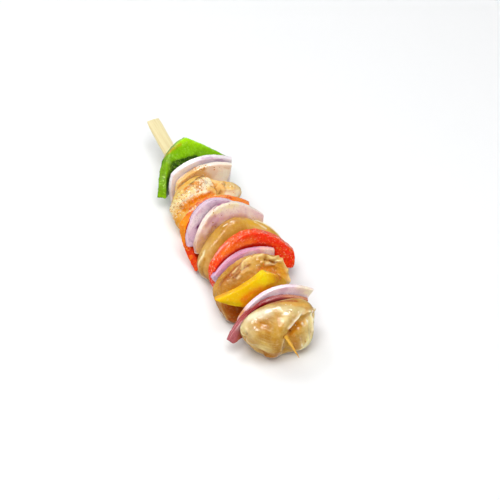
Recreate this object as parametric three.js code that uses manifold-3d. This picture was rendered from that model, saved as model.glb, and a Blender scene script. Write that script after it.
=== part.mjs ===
// Chicken kebab skewer: chunks of marinated chicken, pieces of bell pepper and layers of red onion,
// threaded on a flat bamboo skewer that lies on its side. Millimetres, +Z up. X runs along the skewer to
// its point, and the food rests on the plane z = 0. The skewer pierces every piece, and where two pieces
// press on each other the softer one gives way.
import * as THREE from "three";
import { mergeVertices } from "three/addons/utils/BufferGeometryUtils.js";
import Module from "manifold-3d";

const wasm = await Module();
wasm.setup();

// ---- Driving dimensions ----

const SKEWER_LENGTH = 230;
const SKEWER_WIDTH = 9;
const SKEWER_THICKNESS = 2.6;
const SKEWER_POINT = 72; // length of the sharpened end
const SKEWER_BOW = 1.4; // the bamboo's own sideways bend
const TIP_WIDTH = 0.9;
const TIP_THICKNESS = 0.9;
const EDGE_SHARE = 0.8; // thickness at the strip's edges, as a share of its middle's
const TIP_EDGE_SHARE = 0.1; // the same at the point, which is cut to a ridge along its middle
const CORNER_CUT = 2; // length of the trimmed corners at the blunt end
const AXIS_HEIGHT = 21; // middle of the skewer above the resting plane
const GAP = 0.3; // kept between neighbouring pieces
const PEPPER_WALL = 6;
const ONION_LAYER = 4;

const { degToRad, lerp } = THREE.MathUtils;

// ---- Skewer: a flat bamboo strip, sharpened at one end ----

function skewer(grow = 0) {
  const strip = new THREE.BoxGeometry(2, 2, 2, 46, 2, 2);
  const corner = strip.getAttribute("position");
  const cornerShare = 0.1; // how much of the width the trimmed corners take
  for (let i = 0; i < corner.count; i++) {
    const [along, side, face] = [corner.getX(i), corner.getY(i), corner.getZ(i)];
    const x = along * (SKEWER_LENGTH / 2 + grow);
    const sharp = Math.max(0, 1 - (SKEWER_LENGTH / 2 - x) / SKEWER_POINT);
    const trimmed = Math.max(0, 1 - (x + SKEWER_LENGTH / 2) / CORNER_CUT);
    const width = lerp(SKEWER_WIDTH, TIP_WIDTH, sharp) * (1 - cornerShare * trimmed ** 2);
    const edgeShare = side !== 0 ? lerp(EDGE_SHARE, TIP_EDGE_SHARE, Math.sqrt(sharp)) : 1;
    const thickness = lerp(SKEWER_THICKNESS, TIP_THICKNESS, sharp ** 2) * edgeShare;
    const bow = SKEWER_BOW * (1 - along) ** 2 * (1 + along);
    corner.setXYZ(i, x, side * (width / 2 + grow) - bow, face * (thickness / 2 + grow));
  }
  return strip;
}

// ---- Slices: pieces of pepper wall and layers of onion ----

// A slice has four corners [y, z], measured from the skewer in the plane across it: bottom left, bottom
// right, top right and top left. Its edges bow outwards by the given amounts, in the order bottom, right,
// top and left. Its middle stands at x, its top leans back by lean degrees, and it is dished about its
// hollow with the two radii, across and upwards, positive where the hollow side faces the point. Each fold
// turns what lies beyond a line, given by a point on it and the direction across it, forward by slope.
function slice({ corners, bows, x, lean = 0, hollow, dish, folds = [], wall, taper, steps }, grow = 0) {
  const [bottomLeft, bottomRight, topRight, topLeft] = corners.map(([y, z]) => new THREE.Vector2(y, z));
  const outward = (a, b) => new THREE.Vector2(b.y - a.y, a.x - b.x).normalize();
  const edges = [[bottomLeft, bottomRight], [bottomRight, topRight], [topRight, topLeft],
    [topLeft, bottomLeft]];
  const [bottom, right, top, left] = edges.map(([a, b], i) => outward(a, b).multiplyScalar(bows[i]));

  // The point at s across and t up, both from -1 to 1.
  const inPlane = (s, t) => {
    const low = bottomLeft.clone().lerp(bottomRight, (1 + s) / 2);
    const high = topLeft.clone().lerp(topRight, (1 + s) / 2);
    return low.lerp(high, (1 + t) / 2)
      .addScaledVector(bottom, (1 - s * s) * (1 - t) / 2)
      .addScaledVector(right, (1 - t * t) * (1 + s) / 2)
      .addScaledVector(top, (1 - s * s) * (1 + t) / 2)
      .addScaledVector(left, (1 - t * t) * (1 - s) / 2);
  };
  const middle = (y, z) => {
    let forward = x - Math.tan(degToRad(lean)) * z;
    forward += (y - hollow[0]) ** 2 / (2 * dish[0]) + (z - hollow[1]) ** 2 / (2 * dish[1]);
    for (const { at, toward, slope, soft } of folds) {
      const beyond = (y - at[0]) * Math.cos(degToRad(toward)) + (z - at[1]) * Math.sin(degToRad(toward));
      forward += slope * (beyond + Math.hypot(beyond, soft)) / 2;
    }
    return forward;
  };
  const nudge = 0.01;
  const normalAt = (y, z) => new THREE.Vector3(1,
    (middle(y - nudge, z) - middle(y + nudge, z)) / (2 * nudge),
    (middle(y, z - nudge) - middle(y, z + nudge)) / (2 * nudge)).normalize();

  const block = new THREE.BoxGeometry(2, 2, 2, ...steps);
  const corner = block.getAttribute("position");
  for (let i = 0; i < corner.count; i++) {
    const [s, t, face] = [corner.getX(i), corner.getY(i), corner.getZ(i)];
    const across = inPlane(1, t).sub(inPlane(-1, t)).normalize();
    const upwards = inPlane(s, 1).sub(inPlane(s, -1)).normalize();
    const { x: y, y: z } = inPlane(s, t).addScaledVector(across, grow * s).addScaledVector(upwards, grow * t);
    const out = face * (wall / 2 * (1 - taper * s ** 4) + grow);
    const point = new THREE.Vector3(middle(y, z), y, z).addScaledVector(normalAt(y, z), out);
    corner.setXYZ(i, ...point);
  }
  return block;
}

// ---- Chicken: soft chunks, pushed out and in ----

// The angle between a direction and the nearest point of a path of directions.
function angleToPath(way, path) {
  if (path.length === 1) return way.angleTo(path[0]);
  const nearest = new THREE.Vector3();
  return Math.min(...path.slice(1).map((end, i) => {
    new THREE.Line3(path[i], end).closestPointToPoint(way, true, nearest);
    return way.angleTo(nearest);
  }));
}

// A chunk has half sizes along x, y and z. Its squareness is 2 for an egg and more for a block, first
// along the skewer and then round it. Each swell raises or sinks the surface along a path of directions
// from the middle, by rise there and less within spread radians. The middle is off the skewer by off
// [y, z], and the chunk leans back and is rolled about the skewer by degrees.
function chunk({ half, square, swells, detail, x, off, lean = 0, roll = 0 }, grow = 0) {
  const ball = new THREE.IcosahedronGeometry(1, detail);
  const corner = ball.getAttribute("position");
  const size = new THREE.Vector3(...half);
  const forms = swells.map((swell) => ({
    ...swell, path: swell.path.map((way) => new THREE.Vector3(...way).normalize()),
  }));
  const [end, round] = square;
  for (let i = 0; i < corner.count; i++) {
    const way = new THREE.Vector3().fromBufferAttribute(corner, i);
    const across = (Math.abs(way.y) ** round + Math.abs(way.z) ** round) ** (1 / round);
    const reach = (Math.abs(way.x) ** end + across ** end) ** (-1 / end);
    const out = forms.reduce((sum, { path, rise, spread }) =>
      sum + rise * Math.exp(-((angleToPath(way, path) / spread) ** 2)), grow);
    const normal = way.clone().divide(size).normalize();
    corner.setXYZ(i, ...way.multiplyScalar(reach).multiply(size).addScaledVector(normal, out));
  }
  const turn = new THREE.Euler(degToRad(roll), degToRad(-lean), 0, "ZYX");
  return ball.applyMatrix4(new THREE.Matrix4().makeRotationFromEuler(turn)).translate(x, ...off);
}

// ---- The food, from the handle to the point ----

const pepper = { make: slice, firmness: 3, wall: PEPPER_WALL, taper: 0, steps: [12, 8, 1], roughness: 0.3 };
const onion = { make: slice, firmness: 2, wall: ONION_LAYER, taper: 0.3, steps: [14, 5, 1], roughness: 0.3 };
const chicken = { make: chunk, firmness: 1, detail: 6, roughness: 0.35 };

const FOOD = [
  {
    ...pepper, name: "green_pepper", colour: "#6fae10", x: -62.5,
    corners: [[-19, -10.5], [22, -18], [31, -1], [7, 14]], bows: [0, 2, 0.5, 6.2],
    hollow: [0, 0], dish: [400, 400],
    folds: [{ at: [0, -3], toward: 90, slope: -0.84, soft: 5 },
      { at: [-11, 0], toward: 180, slope: 1, soft: 3 }],
  },
  {
    ...onion, name: "onion_1_outer", colour: "#dfc3d3", x: -57.3, lean: 12,
    corners: [[-13, -14], [26, -14], [30, 6], [-11, 7]], bows: [0, 1, 5, 1.5],
    hollow: [9, -6], dish: [80, 60],
  },
  {
    ...onion, name: "onion_1_inner", colour: "#e8c9b8", x: -53.1, lean: 12,
    corners: [[-11, -14], [21, -14], [28.5, 5], [-9.5, 2.5]], bows: [0, 1, 4.5, 1],
    hollow: [9, -6], dish: [80, 60],
  },
  {
    ...chicken, name: "chicken_1", colour: "#d9b27a", x: -36.7, off: [-2, -5.3], lean: 10, roll: 24,
    half: [15.5, 17, 16.3], square: [2.5, 2.2],
    swells: [
      { path: [[0.15, 0.93, -0.3]], rise: 13, spread: 0.4 },
      { path: [[-0.5, -0.6, 0.7], [-0.45, 0.2, 0.85]], rise: -4, spread: 0.4 },
      { path: [[0.4, -0.9, -0.2]], rise: 3, spread: 0.4 },
      { path: [[0.1, 0.75, 0.6]], rise: -2.5, spread: 0.25 },
      { path: [[0.45, -0.75, 0.5], [0.6, -0.2, 0.8], [0.5, 0.35, 0.8]], rise: -2.5, spread: 0.27 },
    ],
  },
  {
    ...pepper, name: "orange_pepper", colour: "#ee6a12", x: -14, lean: 18,
    corners: [[-20, -17], [20, -19], [23.5, 6], [-22.5, 6]], bows: [0, 0, 8.5, 1],
    hollow: [2, -4], dish: [70, 70],
    folds: [{ at: [-14, -12], toward: 230, slope: 1.6, soft: 3 }],
  },
  {
    ...onion, name: "onion_2_outer", colour: "#d3b1c9", x: -6.5, lean: 25, wall: 4.6,
    corners: [[-22.5, -5], [14, -14], [14, 12], [-20, 7]], bows: [0, 0, 9, 1],
    hollow: [-3, -4], dish: [90, 90],
  },
  {
    ...onion, name: "onion_2_inner", colour: "#e2bfc6", x: -1.3, lean: 25, wall: 4.6,
    corners: [[-20, -6], [24, -15], [28, 5], [-20, 0]], bows: [0, 0, 15, 0],
    hollow: [5, -4], dish: [90, 90],
  },
  {
    ...chicken, name: "chicken_2", colour: "#cfa564", x: 13.2, off: [6.5, -9.5], lean: 27,
    half: [9, 28.5, 24], square: [3.4, 1.55], swells: [],
  },
  {
    ...pepper, name: "red_pepper", colour: "#e8290c", x: 23.5, lean: 25, wall: 7,
    corners: [[-16, -15], [33, -12], [35, -2], [-18, 3]], bows: [0, 1, 14, 3],
    hollow: [8, -5], dish: [90, 90],
  },
  {
    ...onion, name: "onion_3", colour: "#d9b3cf", x: 30.2, lean: 22, wall: 4.6,
    corners: [[-18.5, -6], [19, -12], [21.5, 6], [-21.5, 0]], bows: [0, 0, 5.5, 0],
    hollow: [0, -4], dish: [90, 90],
  },
  {
    ...chicken, name: "chicken_3", colour: "#cf9a55", x: 43, off: [0, -6.5], lean: 25, roll: 10,
    half: [10.6, 23.2, 17.2], square: [3.2, 2.5], detail: 7,
    swells: [
      { path: [[0.4, -0.6, -0.7]], rise: 4, spread: 0.5 },
      { path: [[0, -0.6, 0.8]], rise: -2, spread: 0.5 },
      { path: [[0.6, 0.5, 0.6], [0.7, 0.7, 0.1]], rise: -2.5, spread: 0.28 },
      { path: [[0.3, 0.85, 0.45], [0.45, 0.9, -0.1]], rise: 2, spread: 0.25 },
    ],
  },
  {
    ...pepper, name: "yellow_pepper", colour: "#f2c012", x: 59.5, lean: 22,
    corners: [[2, -7], [18.5, -2], [4, 14], [-29, 5]], bows: [0, 2, -1, 1.5],
    hollow: [0, 0], dish: [-150, -150],
    folds: [{ at: [6, 0], toward: -15, slope: -0.6, soft: 4 }],
  },
  {
    ...onion, name: "onion_4_outer", colour: "#dcbbd6", x: 64.3, lean: 15, wall: 3.4,
    corners: [[-18.5, -9], [22, -11], [31, 1.5], [-18.5, -3]], bows: [0, 0, 8.5, 1],
    hollow: [4, -6], dish: [90, 90],
  },
  {
    ...onion, name: "onion_4_inner", colour: "#b5626f", x: 68.4, lean: 15, wall: 4.4,
    corners: [[-26.5, -12.5], [22, -13], [25.5, -1], [-29.5, -9.5]], bows: [0, 0, 10, 0],
    hollow: [2, -6], dish: [90, 90],
  },
  {
    ...chicken, name: "chicken_4", colour: "#dcbc7c", x: 83, off: [0.5, -6], detail: 8,
    half: [14, 21.5, 16], square: [2.4, 2.3],
    swells: [
      { path: [[0.1, 0.8, 0.6], [0.5, 0.22, 0.83], [0.85, -0.13, 0.5], [0.75, -0.25, -0.62]],
        rise: 2.2, spread: 0.22 },
      { path: [[0.5, 0.55, 0.67], [0.85, 0.1, 0.5], [0.98, -0.03, 0], [0.8, 0, -0.6]],
        rise: -4.5, spread: 0.2 },
      { path: [[0.7, 0.58, -0.4]], rise: 2.5, spread: 0.45 },
      { path: [[-0.35, 0.8, 0.5]], rise: 3, spread: 0.4 },
      { path: [[-0.45, -0.88, 0.15]], rise: 2, spread: 0.4 },
      { path: [[0.05, 0.95, 0.3]], rise: 2, spread: 0.3 },
      { path: [[0.2, -0.92, -0.3], [0.6, -0.65, -0.45]], rise: -4.5, spread: 0.32 },
      { path: [[0.6, -0.78, 0.05]], rise: -1.5, spread: 0.22 },
      { path: [[0.3, -0.5, 0.8], [0.4, -0.3, 0.87]], rise: -1.5, spread: 0.25 },
    ],
  },
];

// ---- Fitting the pieces to the skewer and to each other ----

function solidOf(geometry) {
  const bare = new THREE.BufferGeometry().setAttribute("position", geometry.getAttribute("position"));
  if (geometry.index) bare.setIndex(geometry.index);
  const closed = mergeVertices(bare, 1e-4);
  return new wasm.Manifold(new wasm.Mesh({
    numProp: 3,
    vertProperties: new Float32Array(closed.attributes.position.array),
    triVerts: new Uint32Array(closed.index.array),
  }));
}

// A solid's largest body: a loose scrap left by a cut is dropped.
function geometryOf(solid) {
  const body = solid.decompose().reduce((a, b) => (b.volume() > a.volume() ? b : a));
  const { vertProperties, triVerts } = body.getMesh();
  return new THREE.BufferGeometry()
    .setAttribute("position", new THREE.BufferAttribute(new Float32Array(vertProperties), 3))
    .setIndex(new THREE.BufferAttribute(new Uint32Array(triVerts), 1));
}

function named(name, geometry, colour, roughness) {
  const material = new THREE.MeshStandardMaterial({ color: colour, roughness, metalness: 0 });
  const mesh = new THREE.Mesh(geometry, material);
  mesh.name = name;
  return mesh;
}

const kebab = new THREE.Group();
kebab.add(named("skewer_stick", geometryOf(solidOf(skewer())), "#ead9a2", 0.6));

const below = new THREE.BoxGeometry(2 * SKEWER_LENGTH, SKEWER_LENGTH, SKEWER_LENGTH);
below.translate(0, 0, -SKEWER_LENGTH / 2 - AXIS_HEIGHT);
const cutters = [solidOf(skewer(GAP)), solidOf(below)];
for (const piece of FOOD.toSorted((a, b) => b.firmness - a.firmness)) {
  const cut = cutters.reduce((solid, cutter) => solid.subtract(cutter), solidOf(piece.make(piece)));
  kebab.add(named(piece.name, geometryOf(cut), piece.colour, piece.roughness));
  cutters.push(solidOf(piece.make(piece, GAP)));
}

// The origin is the middle of the resting plane under the whole kebab.
const bounds = new THREE.Box3().setFromObject(kebab);
const middle = bounds.getCenter(new THREE.Vector3());
kebab.position.set(-middle.x, -middle.y, -bounds.min.z);

export default kebab;
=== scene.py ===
# Looks of a chicken kebab skewer: bamboo stick, chicken chunks, bell pepper, red onion and marinade.
# Metres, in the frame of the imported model: +X along the stick to its point, +Z up, resting on z = 0.
import math
import random

import bmesh
import bpy
import numpy as np
from mathutils import Matrix, Vector, noise
from mathutils.bvhtree import BVHTree


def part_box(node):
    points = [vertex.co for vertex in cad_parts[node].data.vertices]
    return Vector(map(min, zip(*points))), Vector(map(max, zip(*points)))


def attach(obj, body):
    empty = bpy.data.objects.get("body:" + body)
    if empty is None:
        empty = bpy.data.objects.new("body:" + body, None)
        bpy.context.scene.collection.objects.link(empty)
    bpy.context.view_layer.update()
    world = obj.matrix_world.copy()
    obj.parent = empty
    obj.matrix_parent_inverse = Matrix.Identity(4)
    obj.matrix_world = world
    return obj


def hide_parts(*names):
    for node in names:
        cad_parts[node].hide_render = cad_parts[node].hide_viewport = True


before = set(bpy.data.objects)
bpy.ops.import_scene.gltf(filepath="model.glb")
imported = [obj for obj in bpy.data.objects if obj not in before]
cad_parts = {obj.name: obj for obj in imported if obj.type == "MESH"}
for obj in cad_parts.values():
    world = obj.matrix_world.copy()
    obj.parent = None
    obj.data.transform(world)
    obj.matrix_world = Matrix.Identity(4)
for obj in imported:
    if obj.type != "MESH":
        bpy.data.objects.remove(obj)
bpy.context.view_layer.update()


# ---- Bamboo stick ----
# One flat strip split from a bamboo cane, sanded smooth and sharpened to a point at one end.
# The fibres run its whole length. Cooking juices have soaked and browned the point.

MM = 0.001
MERGE_DISTANCE = 0.002 * MM
STICK_VOXEL = 0.42 * MM
FIBRE_DEPTH = 0.08 * MM
FIBRE_SIZE = (30, 0.8, 0.8)  # millimetres
FIBRE_SINK = 0.7  # share of the depth that keeps the fibres within the strip's own thickness
BAMBOO_PALE = "#eaddae"
BAMBOO_STREAK = "#e0cc94"
BAMBOO_STAINED = "#dca63a"
STAIN_START = 0.084  # x where the browning of the point begins
STAIN_LENGTH = 0.014


def added(name, data):
    """A new object in the scene."""
    made = bpy.data.objects.new(name, data)
    bpy.context.scene.collection.objects.link(made)
    return made


def shaped(name, shape):
    """A new object in the scene with the mesh that the bmesh shape holds."""
    mesh = bpy.data.meshes.new(name)
    shape.to_mesh(mesh)
    shape.free()
    return added(name, mesh)


def bake_modifiers(piece):
    """Makes the shape that the piece's modifiers give its own mesh."""
    graph = bpy.context.evaluated_depsgraph_get()
    piece.data = bpy.data.meshes.new_from_object(piece.evaluated_get(graph))
    piece.modifiers.clear()


def evened(node, name, voxel, softening):
    """A new piece with a node's form as an even, closed mesh whose edges are softened."""
    merged = bmesh.new()
    merged.from_mesh(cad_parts[node].data)
    bmesh.ops.remove_doubles(merged, verts=merged.verts, dist=MERGE_DISTANCE)
    piece = shaped(name, merged)
    even = piece.modifiers.new("even", "REMESH")
    even.mode = "VOXEL"
    even.voxel_size = voxel
    bake_modifiers(piece)
    soft = bmesh.new()
    soft.from_mesh(piece.data)
    for _ in range(softening):
        bmesh.ops.smooth_vert(
            soft, verts=soft.verts, factor=0.5, use_axis_x=True, use_axis_y=True, use_axis_z=True
        )
    soft.to_mesh(piece.data)
    soft.free()
    return piece


def vectors(items, name):
    """A vector that many mesh items have, as an array."""
    values = np.empty(len(items) * 3, np.float32)
    items.foreach_get(name, values)
    return values.reshape(-1, 3).astype(float)


def raise_surface(piece, height):
    """Moves each point out by its height, and less close to the floor."""
    points = vectors(piece.data.vertices, "co")
    normals = vectors(piece.data.vertex_normals, "vector")
    off_floor = np.clip(points[:, 2] / MM, 0, 1)
    moved = points + normals * (height * off_floor)[:, None]
    moved[:, 2] = np.maximum(moved[:, 2], 0)
    piece.data.vertices.foreach_set("co", moved.astype(np.float32).ravel())
    piece.data.update()


def lumps(points, size, seed=0):
    """Smooth noise from about -1 to 1. size is the width of its lumps in millimetres, or one per axis."""
    return np.array([noise.noise(p) for p in (points / (np.array(size) * MM) + 7.3 * seed).tolist()])


def rgb(code):
    """A colour code such as #ffcc00 as the linear colour that a shader takes."""
    channels = [int(code[i:i + 2], 16) / 255 for i in (1, 3, 5)]
    return [c / 12.92 if c <= 0.04045 else ((c + 0.055) / 1.055) ** 2.4 for c in channels] + [1]


def feed(value, socket):
    """Links an output to an input of its own tree."""
    value.id_data.links.new(value, socket)


def put(kind, sockets, tree=None, **settings):
    """A new node. A socket takes a value, a colour code, or the output that feeds it and gives its tree."""
    feeding = {key: value for key, value in sockets.items() if isinstance(value, bpy.types.NodeSocket)}
    tree = tree or next(iter(feeding.values())).id_data
    made = tree.nodes.new("ShaderNode" + kind)
    for name, value in settings.items():
        setattr(made, name, value)
    for key, value in sockets.items():
        if key in feeding:
            feed(value, made.inputs[key])
        else:
            made.inputs[key].default_value = rgb(value) if isinstance(value, str) else value
    return made


def maths(operation, a, b, clamp=False):
    return put("Math", {0: a, 1: b}, operation=operation, use_clamp=clamp).outputs[0]


def times(a, b):
    return maths("MULTIPLY", a, b)


def plus(a, b):
    return maths("ADD", a, b)


def between(value, low, high, to_low=0, to_high=1):
    """A soft step: to_low where the value is under low, to_high where it is over high."""
    sockets = {"Value": value, "From Min": low, "From Max": high, "To Min": to_low, "To Max": to_high}
    return put("MapRange", sockets, interpolation_type="SMOOTHSTEP").outputs[0]


def mixed(factor, a, b):
    """Colour a, with colour b over it by the factor."""
    return put("Mix", {0: factor, 6: a, 7: b}, data_type="RGBA").outputs[2]


def over(colour, layer, value, low, high, most=1, only=None):
    """The colour with a layer over it: none where the value is low, most of it where it is high."""
    cover = between(value, low, high, 0, most)
    return mixed(times(cover, only) if only else cover, colour, layer)


def clouds(where, scale, detail=2, roughness=0.5):
    """A noise texture's value, from 0 to 1."""
    sockets = {"Vector": where, "Scale": scale, "Detail": detail, "Roughness": roughness}
    return put("TexNoise", sockets).outputs["Fac"]


def mark_of(material, name):
    """The value of a mark on the mesh, in a material."""
    return put("Attribute", {}, material.node_tree, attribute_name=name).outputs["Fac"]


def finish(name, sockets):
    """A material with those constant values on its shader, that shader and the object coordinates."""
    made = bpy.data.materials.new(name)
    made.use_nodes = True
    shader = made.node_tree.nodes["Principled BSDF"]
    for key, value in sockets.items():
        shader.inputs[key].default_value = value
    where = put("TexCoord", {}, made.node_tree).outputs["Object"]
    return made, shader, where


def effect(name, inputs, outputs):
    """An empty shader node group with those sockets: the group, its inputs and where its outputs go."""
    made = bpy.data.node_groups.new(name, "ShaderNodeTree")
    for way, sockets in (("INPUT", inputs), ("OUTPUT", outputs)):
        for socket, kind in sockets.items():
            made.interface.new_socket(socket, in_out=way, socket_type="NodeSocket" + kind)
    return made, made.nodes.new("NodeGroupInput").outputs, made.nodes.new("NodeGroupOutput").inputs


def placed(group, sockets):
    """An effect placed in a material with its own values: its outputs."""
    return put("Group", sockets, node_tree=group).outputs


# Long fibres: fine strands, and broader bands of them, along the z of the given coordinates.
fibre_effect, given, out = effect(
    "fibres", {"Vector": "Vector", "Strands": "Float", "Length": "Float"},
    {"Strands": "Float", "Bands": "Float"},
)
across = put("CombineXYZ", {0: given["Strands"], 1: given["Strands"], 2: given["Length"]})
long = put("VectorMath", {0: given["Vector"], 1: across.outputs[0]}, operation="MULTIPLY")
broad = put("VectorMath", {0: long.outputs[0], "Scale": 0.35}, operation="SCALE")
feed(clouds(long.outputs[0], 1, 4, 0.62), out["Strands"])
feed(clouds(broad.outputs[0], 1, 2), out["Bands"])

stick = evened("skewer_stick", "bamboo_stick", STICK_VOXEL, softening=3)
raised = lumps(vectors(stick.data.vertices, "co"), FIBRE_SIZE) - FIBRE_SINK
raise_surface(stick, FIBRE_DEPTH * raised)
stick.data.shade_smooth()

bamboo, shader, where = finish("bamboo", {"Specular IOR Level": 0.1})
lengthwise = put("Mapping", {"Vector": where, "Rotation": (0, math.radians(-90), 0)}).outputs[0]
fibres = placed(fibre_effect, {"Vector": lengthwise, "Strands": 900, "Length": 26})
streaked = over(BAMBOO_PALE, BAMBOO_STREAK, fibres["Strands"], 0.42, 0.7)
streaked = over(streaked, BAMBOO_STREAK, fibres["Bands"], 0.5, 0.75, 0.4)
along = put("SeparateXYZ", {0: where}).outputs["X"]
browned = between(along, STAIN_START, STAIN_START + STAIN_LENGTH)
feed(mixed(browned, streaked, BAMBOO_STAINED), shader.inputs["Base Color"])
feed(between(browned, 0, 1, 0.6, 0.3), shader.inputs["Roughness"])
grain = put("Bump", {"Strength": 0.6, "Distance": 0.1 * MM, "Height": fibres["Strands"]})
feed(grain.outputs[0], shader.inputs["Normal"])
stick.data.materials.append(bamboo)
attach(stick, "root")
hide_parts("skewer_stick")


# ---- Chicken chunks ----
# Four chunks of breast and thigh meat, cut by hand, soaked in an oily spice marinade and half cooked.
# Each is pushed over the stick, so that its cut faces bulge and its thin ends fold and curl.

CHICKEN_VOXEL = 0.56 * MM
STROKE_WOBBLE = 2.4  # millimetres between the bends in a stroke's uneven edge
RECESS_REACH = 12 * MM  # how far a surface looks for others that shade it and hold juice
RECESS_WAYS = 10  # how many ways it looks
LOOK_FROM = 0.5 * MM  # how far above the surface
GOLDEN_TURN = math.pi * (3 - math.sqrt(5))  # spreads any number of ways evenly
FILM_RIPPLES = 3.2  # how much finer a wet film's ripples are than its thick patches
SPICE_PALE = "#fffaf0"
SPICE_GOLD = "#e8981c"
SPICE_BROWN = "#c47a1c"


def nearness(points, path, width):
    """1 on a path through points in millimetres, and almost 0 at twice the width from it."""
    corners = np.array(path) * MM
    away = np.full(len(points), np.inf)
    for start, end in zip(corners, [*corners[1:], corners[-1]]):
        run = end - start
        along = np.clip((points - start) @ run / max(run @ run, 1e-12), 0, 1)
        away = np.minimum(away, np.linalg.norm(points - start - along[:, None] * run, axis=1))
    return np.exp(-((away / (width * MM)) ** 2))


def stroked(points, strokes):
    """The sum of the strokes at each point."""
    total = np.zeros(len(points))
    for amount, width, *path in strokes:
        total += amount * nearness(points, path, width)
    return total


def shaken(points, amount):
    """The points moved about by smooth noise, for strokes with uneven edges."""
    return points + amount * np.stack([lumps(points, STROKE_WOBBLE, 20 + i) for i in range(3)], axis=1)


def around(node_names):
    """The surfaces of those nodes as one tree for finding hits."""
    corners, faces = [], []
    for name in node_names:
        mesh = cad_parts[name].data
        start = len(corners)
        corners += [v.co.copy() for v in mesh.vertices]
        faces += [[start + i for i in face.vertices] for face in mesh.polygons]
    return BVHTree.FromPolygons(corners, faces)


EVERYTHING = around(sorted(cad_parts))


def mark(piece, name, values):
    made = piece.data.attributes.new(name, "FLOAT", "POINT")
    made.data.foreach_set("value", np.asarray(values, np.float32))


def mark_paint(piece, points, strokes, colours):
    """Marks the colour of the paint strokes over each point, and how much they cover it."""
    paint = np.zeros((len(points), 4))
    for colour, amount, width, *path in strokes:
        cover = np.clip(amount * nearness(points, path, width), 0, 1)[:, None]
        paint += cover * (np.array(rgb(colours.get(colour, colour))) - paint)
    made = piece.data.attributes.new("paint", "FLOAT_COLOR", "POINT")
    made.data.foreach_set("color", paint.astype(np.float32).ravel())


def mark_shade_masks(piece):
    """For painted shade: marks how much of what a point faces is close, 0 in the open, towards 1 in a cleft.
    """
    points = vectors(piece.data.vertices, "co")
    normals = vectors(piece.data.vertex_normals, "vector")
    side = np.cross(normals, (0.36, 0.48, 0.8))
    side /= np.linalg.norm(side, axis=1, keepdims=True) + 1e-9
    up = np.cross(normals, side)
    starts = (points + normals * LOOK_FROM).tolist()
    shades = np.zeros(len(points))
    for i in range(RECESS_WAYS):
        height = (i + 0.5) / RECESS_WAYS
        spread = math.sqrt(1 - height * height)
        turn = i * GOLDEN_TURN
        rays = normals * height + (side * math.cos(turn) + up * math.sin(turn)) * spread
        far = [EVERYTHING.ray_cast(start, ray, RECESS_REACH)[3] for start, ray in zip(starts, rays.tolist())]
        far = np.array([RECESS_REACH if distance is None else distance for distance in far])
        shades += (1 - far / RECESS_REACH) * height
    mark(piece, "recess", 2 * shades / RECESS_WAYS)
    # How far a point faces down: the mask for painted shade on the lower side of the chunks.
    mark(piece, "under", np.clip((0.6 - normals[:, 2]) / 0.9, 0, 1))


def rippled(where, scale):
    """The height of the ripples in a wet film: broad ones with fine ones on them."""
    return plus(clouds(where, scale, 2, 0.4), times(clouds(where, 1900, 1), 0.35))


# A film of oil and juice: where it is thick the surface is glossy, and its ripples catch the light.
film_effect, given, out = effect(
    "wet film", {"Vector": "Vector", "Scale": "Float"},
    {"Coat": "Float", "Roughness": "Float", "Ripples": "Float"},
)
patches = clouds(given["Vector"], given["Scale"], 3)
feed(between(patches, 0.62, 0.4, 0.35, 1.0), out["Coat"])
feed(between(patches, 0.3, 0.7, 0.28, 0.5), out["Roughness"])
feed(rippled(given["Vector"], times(given["Scale"], FILM_RIPPLES)), out["Ripples"])

# Ground spices: grains of a few colours stuck to the surface, as thick as the amount says.
spice_effect, given, out = effect(
    "ground spices", {"Vector": "Vector", "Color": "Color", "Amount": "Float"},
    {"Color": "Color", "Height": "Float"},
)
grains = put("TexVoronoi", {"Vector": given["Vector"], "Scale": 780}, feature="F1")
kept = clouds(given["Vector"], 330, 2)
threshold = maths("SUBTRACT", 0.78, times(given["Amount"], 0.38))
there = between(maths("SUBTRACT", kept, threshold), -0.05, 0.06)
grain_mask = times(between(grains.outputs["Distance"], 0.4, 0.22), there)
pick = put("SeparateColor", {0: grains.outputs["Color"]}).outputs[0]
grain_colour = over(SPICE_PALE, SPICE_GOLD, pick, 0.3, 0.34)
grain_colour = over(grain_colour, SPICE_BROWN, pick, 0.72, 0.76)
feed(mixed(times(grain_mask, 0.9), given["Color"], grain_colour), out["Color"])
feed(grain_mask, out["Height"])

# Paint: the colour of the strokes laid over the colour that is given.
paint_effect, given, out = effect("paint", {"Color": "Color", "Uneven": "Float"}, {"Color": "Color"})
paint = put("Attribute", {}, paint_effect, attribute_name="paint")
cover = maths("MULTIPLY", paint.outputs["Alpha"], given["Uneven"], clamp=True)
strength = maths("MAXIMUM", paint.outputs["Alpha"], 0.001)
whole = put("VectorMath", {0: paint.outputs["Color"], 1: strength}, operation="DIVIDE")
feed(mixed(cover, given["Color"], whole.outputs[0]), out["Color"])


def refined(piece):
    """Subdivides the piece's mesh and its marks, and shades it smooth: its points."""
    fine = piece.modifiers.new("fine", "SUBSURF")
    fine.levels = fine.render_levels = 1
    bake_modifiers(piece)
    piece.data.shade_smooth()
    return vectors(piece.data.vertices, "co")


def painted(colour, uneven):
    """The colour with the piece's paint strokes over it, thicker where uneven is high."""
    return placed(paint_effect, {"Color": colour, "Uneven": uneven})["Color"]


def wet_finish(name, scale, film_roughness, wetness, glow, glow_colour, glow_depth):
    """A material with a wet film on it, its shader, its coordinates, and the ripples of surface and film."""
    made, shader, where = finish(name, {
        "Specular IOR Level": 0.12,
        "IOR": 1.4,
        "Subsurface Weight": glow,
        "Subsurface Radius": glow_colour,
        "Subsurface Scale": glow_depth,
        "Coat Roughness": film_roughness,
    })
    film = placed(film_effect, {"Vector": where, "Scale": scale})
    feed(film["Roughness"], shader.inputs["Roughness"])
    feed(times(film["Coat"], wetness), shader.inputs["Coat Weight"])
    return made, shader, where, film["Ripples"], rippled(where, FILM_RIPPLES * scale)


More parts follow.
